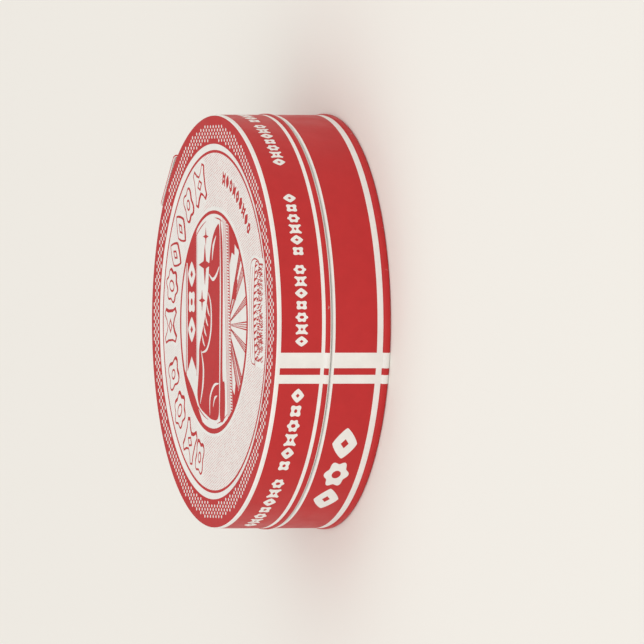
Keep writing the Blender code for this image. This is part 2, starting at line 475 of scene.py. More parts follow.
def makePan():
    s, r, neck = panShape, tin["bodyRadius"], tin["neckRadius"]
    bead = tin["beadRadius"]
    inner, innerNeck = r - tin["sheet"], neck - tin["sheet"]
    floor = s["recess"] + s["floorSheet"]
    # from the middle of the floor up the inside
    profile = [
        (0, floor, "tin"),
        (s["footInner"] - 0.63, floor, "tin"),
        (s["footInner"] + 0.17, s["floorSheet"], "tin"),
    ]
    corner = s["footCorner"]
    profile += arc(inner - corner, s["floorSheet"] + corner, corner, -90, 0, 5, "tin")
    profile += [
        (inner, tin["panShoulder"] - 0.7, "tin"),
        (innerNeck, 12.5, "tin"),
    ]
    # the rolled rim, then down the neck, over the shoulder and down to the foot
    profile += arc(neck - s["curl"], tin["panRim"] - s["curl"], s["curl"], 287, 0, 14, "tin")
    profile += [
        # painted light: cream on the neck and shoulder lightens the shade in the seam under the lid
        (neck, s["neckCreamTop"], "cream"),
        (neck, s["neckFoot"], "cream"),
        (neck + 0.04, 12.93, "cream"),
        (neck + 0.15, 12.88, "cream"),
        (neck + 0.42, 12.80, "cream"),
        (r - 0.07, 12.66, "cream"),
        (r, tin["panShoulder"], "cream"),
        (r, s["bandTop"], "band"),
        (r, s["bandMiddle"], "band"),
        (r, s["bandFoot"], "cream"),
        (r, s["beadTop"], "band"),
        (r, 1.52, "band"),
        (bead - 0.15, 1.42, "band"),
        (bead - 0.05, 1.26, "band"),
        (bead, 1.05, "band"),
        (bead, 0.60, "band"),
        (bead - 0.06, 0.32, "band"),
        (bead - 0.20, 0.10, "band"),
        (bead - 0.45, 0, "tin"),
        (s["footInner"], 0, "tin"),
        (s["footInner"] - 0.8, s["recess"], "tin"),
        (0, s["recess"], ""),
    ]
    pan = turnShell("panShell", profile)
    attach(pan, "base")
    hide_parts("base_pan")
    return pan


lidShell = makeLid()
panShell = makePan()
print("lid and pan turned")


# outlines for the print, mm; each shape is a list of loops, the first one outside

def ovalLoop(rx, ry, count=28, cx=0.0, cy=0.0):
    angles = [2 * math.pi * i / count for i in range(count)]
    return [(cx + rx * math.cos(a), cy + ry * math.sin(a)) for a in angles]


def boxLoop(x0, y0, x1, y1):
    return [(x0, y0), (x1, y0), (x1, y1), (x0, y1)]


def polarLoop(radius, count):
    angles = [2 * math.pi * i / count for i in range(count)]
    return [(radius(a) * math.cos(a), radius(a) * math.sin(a)) for a in angles]


def growLoop(loop, distance):
    # every point moves out along its own corner's direction
    area = sum(a[0] * b[1] - b[0] * a[1] for a, b in zip(loop, loop[1:] + loop[:1]))
    side = 1 if area > 0 else -1
    grown = []
    for i, point in enumerate(loop):
        here = Vector(point)
        before = (here - Vector(loop[i - 1])).normalized()
        after = (Vector(loop[(i + 1) % len(loop)]) - here).normalized()
        along = before + after
        if along.length < 1e-6:
            along = after
        along.normalize()
        out = Vector((along.y, -along.x)) * side
        stretch = 1 / max(0.5, abs(out.dot(Vector((after.y, -after.x)))))
        grown.append(tuple(here + out * distance * stretch))
    return grown


def smoothLoop(points, steps=6, closed=True):
    # a soft curve through the given points
    count = len(points)

    def at(k):
        return Vector(points[k % count] if closed else points[max(0, min(count - 1, k))])

    result = []
    for i in range(count if closed else count - 1):
        p0, p1, p2, p3 = at(i - 1), at(i), at(i + 1), at(i + 2)
        for k in range(steps):
            t = k / steps
            spot = 0.5 * (2 * p1 + (p2 - p0) * t + (2 * p0 - 5 * p1 + 4 * p2 - p3) * t * t
                          + (3 * p1 - p0 - 3 * p2 + p3) * t ** 3)
            result.append(tuple(spot))
    if not closed:
        result.append(tuple(points[-1]))
    return result


def strokeLoop(points, widths, steps=6):
    # a brush stroke: a soft line whose width changes along it
    line = smoothLoop(points, steps, closed=False)
    right, left = [], []
    for i, spot in enumerate(line):
        t = i / (len(line) - 1) * (len(widths) - 1)
        k = min(int(t), len(widths) - 2)
        width = widths[k] + (widths[k + 1] - widths[k]) * (t - k)
        ahead = Vector(line[min(i + 1, len(line) - 1)]) - Vector(line[max(i - 1, 0)])
        ahead.normalize()
        side = Vector((ahead.y, -ahead.x)) * width / 2
        right.append(tuple(Vector(spot) + side))
        left.append(tuple(Vector(spot) - side))
    return right + left[::-1]


def moved(loop, dx, dy, turn=0.0, scale=1.0):
    c, s = math.cos(math.radians(turn)) * scale, math.sin(math.radians(turn)) * scale
    return [(dx + x * c - y * s, dy + x * s + y * c) for x, y in loop]


def cutLoop(loop, height):
    # keep the side where height(point) isn't above 0
    kept = []
    for k, here in enumerate(loop):
        there = loop[(k + 1) % len(loop)]
        a, b = height(here), height(there)
        if a <= 0:
            kept.append(here)
        if a * b < 0:
            t = a / (a - b)
            kept.append((here[0] + (there[0] - here[0]) * t, here[1] + (there[1] - here[1]) * t))
    return kept if len(kept) > 2 else []


def clipToDisc(loop, radius, cx, cy, sides=96):
    # cut away what lies outside a round frame
    limit = radius * math.cos(math.pi / sides)
    for i in range(sides):
        a = 2 * math.pi * (i + 0.5) / sides
        nx, ny = math.cos(a), math.sin(a)
        loop = cutLoop(loop, lambda p: (p[0] - cx) * nx + (p[1] - cy) * ny - limit)
    return loop


# print laid on the metal as thin slabs of ink

inkStep = 0.02  # mm that each printing stands above the one before


# loops are in mm; place(x, y, height) gives the point in metres
class PrintSheet:
    def __init__(self, name):
        self.name = name
        self.bm = bmesh.new()
        self.count = 0

    def lay(self, loops, place, level, slices=0.0):
        if not loops or not loops[0]:
            return
        self.count += 1
        flat = bmesh.new()
        rings = [[Vector((x, y, 0)) for x, y in loop] for loop in loops]
        points = [p for ring in rings for p in ring]
        verts = [flat.verts.new(p) for p in points]
        for a, b, c in tessellate_polygon(rings):
            if len({a, b, c}) == 3:
                # narrow tips can give the same triangle twice
                try:
                    flat.faces.new((verts[a], verts[b], verts[c]))
                except ValueError:
                    pass
        if slices:
            low = min(p.x for p in points)
            high = max(p.x for p in points)
            cut = math.ceil(low / slices) * slices
            while cut < high:
                everything = flat.verts[:] + flat.edges[:] + flat.faces[:]
                bmesh.ops.bisect_plane(flat, geom=everything, plane_co=(cut, 0, 0), plane_no=(1, 0, 0))
                cut += slices
        bmesh.ops.recalc_face_normals(flat, faces=flat.faces)
        for face in flat.faces:
            face.normal_update()
            if face.normal.z < 0:
                face.normal_flip()
        flat.verts.ensure_lookup_table()
        flat.verts.index_update()
        # neighbours on the same printing never lie at quite the same height
        high, low = (level + 0.1 * (self.count % 9)) * inkStep, -inkStep
        top = [self.bm.verts.new(place(v.co.x, v.co.y, high)) for v in flat.verts]
        foot = [self.bm.verts.new(place(v.co.x, v.co.y, low)) for v in flat.verts]
        for face in flat.faces:
            index = [v.index for v in face.verts]
            self.bm.faces.new([top[i] for i in index])
            self.bm.faces.new([foot[i] for i in reversed(index)])
        for edge in flat.edges:
            if len(edge.link_loops) == 1:
                loop = edge.link_loops[0]
                a, b = loop.vert.index, loop.link_loop_next.vert.index
                self.bm.faces.new((top[b], top[a], foot[a], foot[b]))
        flat.free()

    def finish(self, material, body, node, slotName):
        mesh = takeMesh(self.name, self.bm)
        mesh.materials.append(material)
        obj = addObject(self.name, mesh)
        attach(obj, body)
        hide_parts(node)


def onLid(cx=0.0, cy=0.0, turn=0.0, z=panelTop):
    c, s = math.cos(math.radians(turn)), math.sin(math.radians(turn))
    return lambda x, y, h: Vector((cx + x * c - y * s, cy + x * s + y * c, z + h)) * mm


def roundLid(angle, radius):
    # shapes stand with their tops outwards, angle counted from +X
    a = math.radians(angle)
    return onLid(radius * math.cos(a), radius * math.sin(a), angle - 90)


def onWall(angle, z):
    # wrapped round the wall, angle counted from the front
    r = tin["bodyRadius"]
    return lambda x, y, h: wallPoint(r + h, angle + math.degrees(x / r), z + y)


# ring of woven dashes: staggered rows, all lying along X, kept where they fall inside the ring

dashRing = {
    "inner": 38.55,
    "outer": 41.95,
    "rowStep": 0.74,        # mm between rows, along X
    "dashStep": 1.94,       # mm between dashes in a row, along Y
    "front": (0.98, 0.60),  # dash along X and Y, at the front and back
    "side": (0.68, 0.70),   # the same at the two sides
    "blend": 1.5,           # how late the one turns into the other
}


def makeDashes(sheet):
    d = dashRing
    rows = math.ceil(d["outer"] / d["rowStep"])
    columns = math.ceil(d["outer"] / d["dashStep"])
    for i in range(-rows, rows + 1):
        for j in range(-columns, columns + 1):
            x, y = i * d["rowStep"], (j + 0.5 * (i % 2)) * d["dashStep"]
            radius = math.hypot(x, y)
            if d["inner"] < radius < d["outer"]:
                t = (abs(x) / radius) ** d["blend"]
                wide, deep = (front + (side - front) * t for front, side in zip(d["front"], d["side"]))
                sheet.lay([ovalLoop(wide / 2, deep / 2, 10)], onLid(x, y, 0, tin["top"]), 1)


# outlined ornaments round the far side of the lid

arcOrnaments = {
    "radius": 30.7,
    "height": 7.7,
    "halo": 1.0,            # plain cream left round each ornament
    "line": 0.44,
    "shadow": (0.24, -0.26),
    "row": [  # degrees from +X, motif, width
        (160.7, "clover", 6.0), (146.6, "bow", 7.4), (128.3, "rosette", 7.4), (111.6, "clover", 6.8),
        (91.7, "bow", 7.0), (75.6, "rosette", 7.2), (62.2, "diamond", 5.2), (49.8, "diamond", 5.2),
        (36.0, "clover", 6.2), (19.1, "bow", 7.4),
    ],
}


# each motif fills a box two units wide and high: outline first, then what stands inside it
def motif(kind):
    if kind == "rosette":
        return [polarLoop(lambda a: 0.89 + 0.11 * math.cos(6 * a + math.pi), 72), ovalLoop(0.30, 0.40, 22)]
    if kind == "bow":
        side = [(0, 0.46), (0.38, 0.66), (0.72, 1.0), (1.0, 0.84), (0.88, 0.40), (0.88, 0)]
        outline = side + [(x, -y) for x, y in side[-2::-1]]
        outline += [(-x, y) for x, y in outline[-2:0:-1]]
        return [outline, [(0, -0.26), (0.36, 0), (0, 0.26), (-0.36, 0)]]
    if kind == "diamond":
        outline = polarLoop(lambda a: superRadius(a, 1.22), 48)
        return [outline, [(0, -0.36), (0.30, 0), (0, 0.36), (-0.30, 0)]]
    # clover
    outline = polarLoop(lambda a: 1.02 * (0.84 + 0.16 * math.cos(4 * a + math.pi)), 56)
    return [outline, ovalLoop(0.28, 0.28, 18)]


def superRadius(angle, power):
    c, s = abs(math.cos(angle)), abs(math.sin(angle))
    return (c ** power + s ** power) ** (-1 / power)


def sized(loop, wide, tall):
    return [(x * wide / 2, y * tall / 2) for x, y in loop]


def makeArcOrnaments(reds, creams):
    o = arcOrnaments
    half = o["line"] / 2
    for angle, kind, width in o["row"]:
        place = roundLid(angle, o["radius"])
        outer, eye = (sized(loop, width, o["height"]) for loop in motif(kind))
        creams.lay([growLoop(outer, o["halo"])], place, 1)
        reds.lay([moved(growLoop(outer, half), *o["shadow"])], place, 2)
        reds.lay([growLoop(outer, half)], place, 3)
        creams.lay([growLoop(outer, -half)], place, 4)
        reds.lay([growLoop(eye, half)], place, 5)
        creams.lay([growLoop(eye, -half)], place, 6)


# small solid row near the front right

smallRow = {
    "radius": 31.0,
    "from": -50.5,
    "to": -12.5,
    "count": 9,
    "motifs": ("rosette", "diamond", "bow"),
    "width": 2.1,
    "height": 3.1,
    "eyeWidth": 1.7,
    "eyeShare": 0.8,        # of the height, in every other one
    "halo": 0.45,
}


def makeSmallRow(reds, creams):
    r = smallRow
    for i in range(r["count"]):
        angle = r["from"] + (r["to"] - r["from"]) * i / (r["count"] - 1)
        place = roundLid(angle, r["radius"])
        shape, eye = motif(r["motifs"][i % 3])
        shape = sized(shape, r["width"], r["height"])
        eye = sized(eye, r["eyeWidth"], r["height"] * r["eyeShare"]) if i % 2 == 0 else None
        creams.lay([growLoop(shape, r["halo"])], place, 1)
        reds.lay([shape], place, 2)
        creams.lay([eye], place, 3)


# the little brush drawn at the front of the lid

littleBrush = {
    "centre": (2.1, -29.4),
    "width": 22.2,
    "halo": 0.45,
    "line": 0.13,
    "teeth": 15,
    "toothWidths": [0.62, 0.50, 0.08],
    "bristles": 380,
    "bristleWidths": [0.20, 0.07],
    "seed": 7,
}


def makeLittleBrush(reds, creams):
    b = littleBrush
    random.seed(b["seed"])
    place = onLid(*b["centre"])
    w = b["width"] / 2
    whole = [(-w, 1.6), (-w + 0.9, 3.9), (-w * 0.4, 4.6), (w * 0.3, 4.7), (w * 0.86, 4.2), (w + 0.3, 2.0),
             (w - 0.2, -1.8), (w - 1.2, -4.6), (0, -4.9), (-w + 0.3, -4.5), (-w - 0.1, -1.4)]
    creams.lay([growLoop(smoothLoop(whole, 5), b["halo"])], place, 1)
    # wooden back: an outline, a lower edge and the thick end
    back = [(-w, 1.4), (-w + 0.9, 3.7), (-w * 0.4, 4.5), (w * 0.3, 4.6), (w * 0.86, 4.0), (w, 1.9),
            (w - 0.3, -0.8), (w - 0.9, -1.6), (w - 1.3, 0.9), (0, 2.1), (-w + 0.7, 1.1)]
    back = smoothLoop(back, 5)
    reds.lay([growLoop(back, b["line"])], place, 2)
    creams.lay([growLoop(back, -b["line"])], place, 3)
    grain = [(-w + 1.2, 2.4), (-w * 0.3, 3.1), (w * 0.5, 3.1), (w - 1.6, 2.4)]
    reds.lay([strokeLoop(grain, [0.05, 0.2, 0.2, 0.05], 4)], place, 4)
    # tufts under the back, then loose bristles
    for i in range(b["teeth"]):
        x = -w + 0.9 + (2 * w - 2.6) * i / (b["teeth"] - 1)
        top = 1.2 + 0.7 * math.cos(x / w * 1.3)
        lean = 0.55 + 0.3 * random.random()
        path = [(x, top), (x + lean * 0.4, top - 1.0), (x + lean, top - 2.1)]
        reds.lay([strokeLoop(path, b["toothWidths"], 3)], place, 2)
    for i in range(b["bristles"]):
        x = -w + 0.3 + (2 * w - 1.2) * random.random()
        y = 0.2 - 3.9 * random.random() ** 0.8
        length = 0.7 + 0.5 * random.random()
        lean = 0.35 * (random.random() - 0.3)
        reds.lay([strokeLoop([(x, y), (x + lean, y - length)], b["bristleWidths"], 1)], place, 2)


# medallion: ribbon, shoe, stitched welt and rays

medallion = {
    "centre": (-0.1, 0.35),
    "outer": 23.75,
    "inner": 22.85,
    "ground": 0.7,          # plain cream left outside the ring
    "lean": (0.18, 0.05),   # the inner edge sits off centre, so the ring is heavier on one side
    "heavy": (117, 160, 2.1),  # degrees, and how much thicker the ring grows between them
    "ribbon": (12.3, 18.4),
    "ribbonLine": 19.3,
    "ribbonRow": [(-1.6, "diamond"), (4.3, "clover"), (10.2, "diamond")],
    "ribbonMotif": (5.4, 5.0),
    "fork": [(-10.5, 18.4), (-7.3, 15.5), (-10.3, 12.3)],
    "weltHalf": 23,         # the welt rises from weltLeft to weltRight across the medallion
    "weltLeft": -11.9,
    "weltRight": -8.0,
    "weltLines": [(-1.7, 0.10), (-0.95, 0.07), (-0.2, 0.10), (1.75, 0.16)],  # drop, half thickness
    "stitches": 68,
    "stitchFrom": -20.8,
    "stitchStep": 0.63,
    "stitchDrop": (1.4, 0.4),
    "raysFrom": (-0.6, -9.6),
    "rays": [(-151, 3.4), (-141, 2.6), (-112, 3.2), (-91, 3.6), (-68, 3.0), (-43, 3.2), (-31, 2.4)],
    "rayReach": 30,
    "patches": [
        [(12.4, -11.2), (23, -10.4), (23, -20), (15.4, -16.6), (16.6, -14.6), (14.2, -14.4), (14.8, -12.6)],
        [(5.0, -12.6), (8.4, -14.2), (9.0, -16.6), (6.8, -16.0), (4.6, -15.4)],
        [(-19.8, -13.4), (-14.4, -13.2), (-15.6, -14.6), (-12.2, -15.6), (-14.0, -17.0), (-18, -18)],
    ],
    "hairlines": [(140, 170, 21.3), (14, 36, 21.9), (-16, -2, 22.0), (186, 206, 21.9), (38, 52, 21.6)],
}


def cutAbove(loop, left, right):
    # keep what lies below the line from left to right
    def height(p):
        t = (p[0] - left[0]) / (right[0] - left[0])
        return p[1] - (left[1] + (right[1] - left[1]) * t)

    return cutLoop(loop, height)


def makeMedallion(reds, creams):
    m = medallion
    place = onLid(*m["centre"])
    lx, ly = m["lean"]
    ground = m["outer"] + m["ground"]
    creams.lay([ovalLoop(ground, ground, 96)], place, 1)
    ring = [ovalLoop(m["outer"], m["outer"], 128), ovalLoop(m["inner"], m["inner"], 128, lx, ly)[::-1]]
    reds.lay(ring, place, 2)

    def inside(loop):
        return clipToDisc(loop, m["inner"] + 0.1, lx, ly)

    def onRing(angle, radius):
        return (radius * math.cos(math.radians(angle)) + lx, radius * math.sin(math.radians(angle)) + ly)

    first, last, extra = m["heavy"]
    steps = [first + (last - first) * k / 16 for k in range(17)]
    crescent = [onRing(a, m["inner"] + 0.3) for a in steps]
    for a in steps[::-1]:
        crescent.append(onRing(a, m["inner"] - extra * math.sin(math.pi * (a - first) / (last - first))))
    reds.lay([crescent], place, 2)

    low, high = m["ribbon"]
    middle = (low + high) / 2
    reds.lay([inside(boxLoop(-11.8, m["ribbonLine"] - 0.2, 12.5, m["ribbonLine"] + 0.14))], place, 2)
    reds.lay([inside([*m["fork"], (25, low), (25, high)])], place, 2)
    reds.lay([inside(boxLoop(-11.5, low - 0.55, 19.8, low - 0.32))], place, 2)
    reds.lay([inside(boxLoop(12.6, high - 0.1, 20.0, m["ribbonLine"] + 0.8))], place, 2)
    # three solid ornaments on the ribbon
    for x, kind in m["ribbonRow"]:
        shape, eye = (moved(sized(loop, *m["ribbonMotif"]), x, middle) for loop in motif(kind))
        creams.lay([shape], place, 4)
        reds.lay([eye], place, 5)
    makeShoe(reds, creams, place)

    # welt: thin lines and a row of stitches, rising to the right
    half = m["weltHalf"]

    def welt(x, drop):
        return m["weltLeft"] + (m["weltRight"] - m["weltLeft"]) * (x + half) / (2 * half) - drop

    for drop, thick in m["weltLines"]:
        reds.lay([inside([(-half, welt(-half, drop) - thick), (half, welt(half, drop) - thick),
                          (half, welt(half, drop) + thick), (-half, welt(-half, drop) + thick)])], place, 2)
    foot, top = m["stitchDrop"]
    for i in range(m["stitches"]):
        x = m["stitchFrom"] + i * m["stitchStep"]
        reds.lay([inside([(x, welt(x, foot)), (x + 0.30, welt(x + 0.30, foot)),
                          (x + 0.42, welt(x + 0.42, top)), (x + 0.12, welt(x + 0.12, top))])], place, 2)

    # rays spread from under the welt to the ring, each of four thin beams
    ox, oy = m["raysFrom"]
    underWelt = (-half, welt(-half, 1.9)), (half, welt(half, 1.9))
    for angle, spread in m["rays"]:
        for t in (-1, -0.35, 0.3, 1):
            mid, wide = angle + spread * t, 0.62 if abs(t) == 1 else 0.42
            beam = [(ox, oy)]
            for a in (mid - wide, mid + wide):
                turn = math.radians(a)
                beam.append((ox + m["rayReach"] * math.cos(turn), oy + m["rayReach"] * math.sin(turn)))
            reds.lay([inside(cutAbove(beam, *underWelt))], place, 3)
    # solid corners where the ground shows between the rays
    for patch in m["patches"]:
        reds.lay([inside(cutAbove(patch, *underWelt))], place, 4)
    # hairlines that follow the ring inside
    for start, end, radius in m["hairlines"]:
        path = [onRing(start + (end - start) * k / 5, radius) for k in range(6)]
        reds.lay([strokeLoop(path, [0.05, 0.26, 0.26, 0.05], 3)], place, 2)


shoe = {
    "scale": 1.13,
    "lift": 1.9,
    "shift": -0.2,
    "upper": [
        (-17.6, -4.6), (-18.2, -1.0), (-17.2, 3.2), (-15.8, 7.0), (-13.6, 8.4), (-10.6, 7.9), (-7.4, 7.4),
        (-4.4, 7.2), (-1.6, 5.4), (2.0, 3.2), (6.4, 1.8), (11.4, 1.0), (15.8, -0.8), (18.2, -3.6),
        (17.6, -5.2), (8.0, -5.4), (-4.0, -5.2), (-12.0, -5.0),
    ],
    "sole": [
        (-18.2, -5.7), (-17.6, -8.4), (-11.4, -8.4), (-10.4, -7.1), (-2.0, -7.1), (8.0, -7.3), (15.0, -7.0),
        (18.9, -5.9), (18.6, -5.7), (8.0, -6.2), (-4.0, -6.0), (-12.0, -5.7),
    ],
    "seams": [  # collar, facing, toe cap, heel cap, the shine on the toe and on the heel: path, widths
        ([(-15.2, 6.6), (-12.0, 5.0), (-8.4, 4.6), (-5.2, 6.0)], [0.1, 0.75, 0.75, 0.1]),
        ([(-5.6, 5.8), (-4.8, 2.2), (-1.2, -0.1), (3.4, 0.0), (5.8, 1.7)], [0.15, 0.6, 0.7, 0.6, 0.1]),
        ([(9.2, 1.2), (8.2, -1.2), (9.0, -3.4), (10.6, -5.2)], [0.15, 0.65, 0.65, 0.2]),
        ([(-17.4, 0.6), (-14.0, 0.4), (-11.8, -2.0), (-11.4, -4.9)], [0.1, 0.6, 0.6, 0.15]),
        ([(11.8, -0.8), (14.4, -1.5), (16.4, -3.2)], [0.1, 0.95, 0.1]),
        ([(-15.8, -1.4), (-14.2, -2.4), (-13.7, -4.0)], [0.1, 0.6, 0.1]),
    ],
    "laces": 4,
    "sparkles": [(12.2, 6.2, 4.3), (4.6, 8.2, 2.2), (18.2, 5.6, 1.9)],  # x, y, size
    "sparkleWaist": 0.26,
}


def makeShoe(reds, creams, place):
    # laced shoe in profile, toe to the right
    def fit(loop):
        return moved(loop, shoe["shift"], shoe["lift"], 0, shoe["scale"])

    reds.lay([fit(smoothLoop(shoe["upper"], 6))], place, 3)
    reds.lay([fit(smoothLoop(shoe["sole"], 4))], place, 3)
    # sparkles over the toe
    for x, y, size in shoe["sparkles"]:
        star = []
        for k in range(8):
            a, r = math.pi * k / 4, 1 if k % 2 == 0 else shoe["sparkleWaist"]
            star.append((size * r * math.cos(a), size * r * math.sin(a)))
        reds.lay([moved(star, x, y)], place, 3)
    for path, widths in shoe["seams"]:
        creams.lay([fit(strokeLoop(path, widths, 5))], place, 5)
    for k in range(shoe["laces"]):
        x, y = -3.5 + k * 1.9, 5.3 - k * 1.0
        lace = [(x - 0.9, y - 1.6), (x, y - 0.6), (x + 1.3, y + 0.1)]
        creams.lay([fit(strokeLoop(lace, [0.12, 0.6, 0.12], 3))], place, 5)


# repeated ornaments on the lid's band, three large ones on the pan's

bandRow = {
    "z": 19.75,
    "height": 2.8,
    "gap": 0.34,            # mm between neighbours
    "count": 13,
    "gapAfter": 7,          # a wider gap after this many, as between two groups
    "wideGap": 0.6,         # of one step
    "groups": [(-81.0, -18.5), (-7.1, 37.9), (48.3, 93.3), (103.7, 148.7), (159.1, 204.1), (214.5, 259.5)],
    "slices": 0.8,          # mm, so that each ornament bends round the wall
}


def bandShape(k, wide, tall):
    kind = ("diamond", "bow", "rosette", "clover")[k % 4]
    outer, eye = motif(kind)
    return [sized(outer, wide, tall), sized(eye, wide, tall * 0.9)[::-1]]


def makeBandRow(creams):
    b = bandRow
    around = math.radians(1) * tin["bodyRadius"]
    for start, end in b["groups"]:
        step = (end - start) / (b["count"] + b["wideGap"])
        for k in range(b["count"]):
            angle = start + step * (k + 0.5 + (b["wideGap"] if k >= b["gapAfter"] else 0))
            shape = bandShape(k, step * around - b["gap"], b["height"])
            creams.lay(shape, onWall(angle, b["z"]), 1, b["slices"])


panOrnaments = {
    "z": 7.55,
    "height": 5.5,
    "width": 8.0,
    "row": [(-58.7, 0), (-47.3, 2), (-35.9, 0)],
}


def makePanOrnaments(creams):
    p = panOrnaments
    for angle, kind in p["row"]:
        shape = bandShape(kind, p["width"], p["height"])
        creams.lay(shape, onWall(angle, p["z"]), 1, bandRow["slices"])


lidReds, lidCreams = PrintSheet("lidRedPrint"), PrintSheet("lidCreamPrint")
makeDashes(lidCreams)
makeArcOrnaments(lidReds, lidCreams)
makeSmallRow(lidReds, lidCreams)
makeLittleBrush(lidReds, lidCreams)
makeMedallion(lidReds, lidCreams)
makeBandRow(lidCreams)
lidReds.finish(redInk, "lid", "lid", "lid_paint")
lidCreams.finish(creamInk, "lid", "lid", "lid_paint")
panCreams = PrintSheet("panCreamPrint")
makePanOrnaments(panCreams)
panCreams.finish(creamInk, "base", "base_pan", "pan_paint")
print("print laid on lid and pan")


# wax polish, poured and used a little, with a raised skin where it meets the wall

waxLook = {
    "colour": (0.120, 0.010, 0.009),
    "cloudScale": 70,
    "paleScale": 420,
    "paleShare": 0.25,
    "smearScale": 160,
    "smearStretch": (1, 5, 1),
    "smearTurn": 0.5,
    "roughness": (0.22, 0.46),
    "grainScale": 2500,
    "grainHeight": 0.00002,  # m
    "subsurface": 0.08,
    "specular": 0.30,
    "level": 15.9,
    "edge": 16.75,
    "radius": 42.65,
    "dents": 0.10,          # mm, how far the poured face wanders
    "swirls": 0.05,         # mm, the marks a cloth leaves
    "rings": 54,
    "steps": 160,
    "crease": 45,
    "under": [(42.65, 12.4), (42.9, 11.6), (42.9, 1.7), (42.4, 1.4), (41.3, 1.4), (40.5, 1.6)],
}


def waxHeight(radius, angle):
    w = waxLook
    t = radius / w["radius"]
    rise = (w["edge"] - w["level"]) * t ** 9
    x, y = t * math.cos(angle), t * math.sin(angle)
    dents = math.sin(5.1 * x + 1.3) * math.cos(4.3 * y - 0.6) + 0.5 * math.sin(9.7 * y + 3.0 * x)
    swirl = math.sin(34 * t + 1.6 * math.sin(angle + 0.7)) * max(0.0, math.sin(math.pi * t)) ** 2
    return w["level"] + rise + (dents * w["dents"] + swirl * w["swirls"]) * (1 - t ** 6)


def makeWaxMaterial():
    w = waxLook
    mat, tree, shader = newMaterial("polishWax")
    cloud = noiseValue(tree, w["cloudScale"], 5, 0.6)
    pale = rampValue(tree, noiseValue(tree, w["paleScale"], 4, 0.7), 0.60, 0.80)
    base = mixColours(tree, cloud, shade(w["colour"], 0.75), shade(w["colour"], 1.6))
    base = mixColours(tree, times(tree, pale, w["paleShare"]), base, shade(w["colour"], 3.2))
    tree.links.new(base, shader.inputs["Base Color"])
    smear = noiseValue(tree, w["smearScale"], 4, 0.6, w["smearStretch"], w["smearTurn"])
    tree.links.new(rampValue(tree, smear, 0.3, 0.7, *w["roughness"]), shader.inputs["Roughness"])
    shader.inputs["Subsurface Weight"].default_value = w["subsurface"]
    shader.inputs["Subsurface Scale"].default_value = 0.001
    shader.inputs["Specular IOR Level"].default_value = w["specular"]
    grain = noiseValue(tree, w["grainScale"], 3)
    addBump(tree, shader, mathNode(tree, "ADD", smear, grain), w["grainHeight"])
    return mat


def makeWax():
    w = waxLook
    bm = bmesh.new()
    centre = bm.verts.new((0, 0, waxHeight(0, 0) * mm))
    sections = []
    for i in range(1, w["rings"] + 1):
        radius = w["radius"] * (i / w["rings"]) ** 0.8
        angles = [2 * math.pi * k / w["steps"] for k in range(w["steps"])]
        sections.append([(radius, waxHeight(radius, a)) for a in angles])
    # down the wall and under, clear of the pan and of the rivet's inner end
    for point in w["under"]:
        sections.append([point] * w["steps"])
    rings = []
    for section in sections:
        ring = []
        for k, (radius, z) in enumerate(section):
            a = 2 * math.pi * k / w["steps"]
            ring.append(bm.verts.new((radius * math.cos(a) * mm, radius * math.sin(a) * mm, z * mm)))
        rings.append(ring)
    for k in range(w["steps"]):
        n = (k + 1) % w["steps"]
        bm.faces.new((centre, rings[0][k], rings[0][n]))
        for inner, outer in zip(rings, rings[1:]):
            bm.faces.new((inner[k], outer[k], outer[n], inner[n]))
    bm.faces.new(rings[-1][::-1])
    for face in bm.faces:
        face.smooth = len(face.verts) < 5
    bmesh.ops.recalc_face_normals(bm, faces=bm.faces)
    mesh = takeMesh("waxCake", bm, w["crease"])
    mesh.materials.append(makeWaxMaterial())
    cake = addObject("waxCake", mesh)
    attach(cake, "base")
    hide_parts("polish")


makeWax()
print("wax poured")


# twist key and rivet

keyLook = {
    "plate": (0.84, 0.82, 0.78),
    "rivet": (0.72, 0.70, 0.67),
    "cornerHighlight": (0.93, 0.91, 0.88),  # painted highlight on every corner
    "brushedScale": 700,
    "brushedStretch": (1, 1, 16),
    "brushedHeight": 0.000012,  # m
    "roughness": (0.26, 0.42),
    "metal": 0.60,          # dull plating, a little short of clean metal
    "cornerWidth": 0.0002,  # m
    "azimuth": math.radians(47.7),
    "pivot": 10.6,          # mm above the foot
    "innerFace": 44.62,     # mm from the axis: only the boss lies nearer
    "bossClear": 2.6,       # the lacquered rim starts this far from the pivot
    "crease": 38,
}


def makePlate(name, tint):
    mat, tree, shader = newMaterial(name)
    brushed = noiseValue(tree, keyLook["brushedScale"], 4, 0.65, keyLook["brushedStretch"])
    cloud = noiseValue(tree, 300, 4, 0.6)
    base = mixColours(tree, cloud, shade(tint, 0.86), shade(tint, 1.08))
    # darker specks where the plating is thin, and a painted highlight: a brighter colour on every corner,
    # found with the bevel
    specks = rampValue(tree, noiseValue(tree, 1400, 3, 0.7), 0.68, 0.78)
    base = mixColours(tree, times(tree, specks, 0.5), base, shade(tint, 0.45))
    bevel = addNode(tree, "ShaderNodeBevel", -1000, -700, samples=4)
    bevel.inputs["Radius"].default_value = keyLook["cornerWidth"]
    plain = addNode(tree, "ShaderNodeNewGeometry", -1000, -900).outputs["Normal"]
    turned = addNode(tree, "ShaderNodeVectorMath", -800, -800, operation="DOT_PRODUCT")
    tree.links.new(bevel.outputs["Normal"], turned.inputs[0])
    tree.links.new(plain, turned.inputs[1])
    # painted highlight: the corners get the brighter colour
    corner = rampValue(tree, turned.outputs["Value"], 0.995, 0.90)
    base = mixColours(tree, times(tree, corner, 0.6), base, keyLook["cornerHighlight"])
    tree.links.new(base, shader.inputs["Base Color"])
    tree.links.new(rampValue(tree, brushed, 0.25, 0.75, *keyLook["roughness"]), shader.inputs["Roughness"])
    shader.inputs["Metallic"].default_value = keyLook["metal"]
    addBump(tree, shader, brushed, keyLook["brushedHeight"])
    return mat


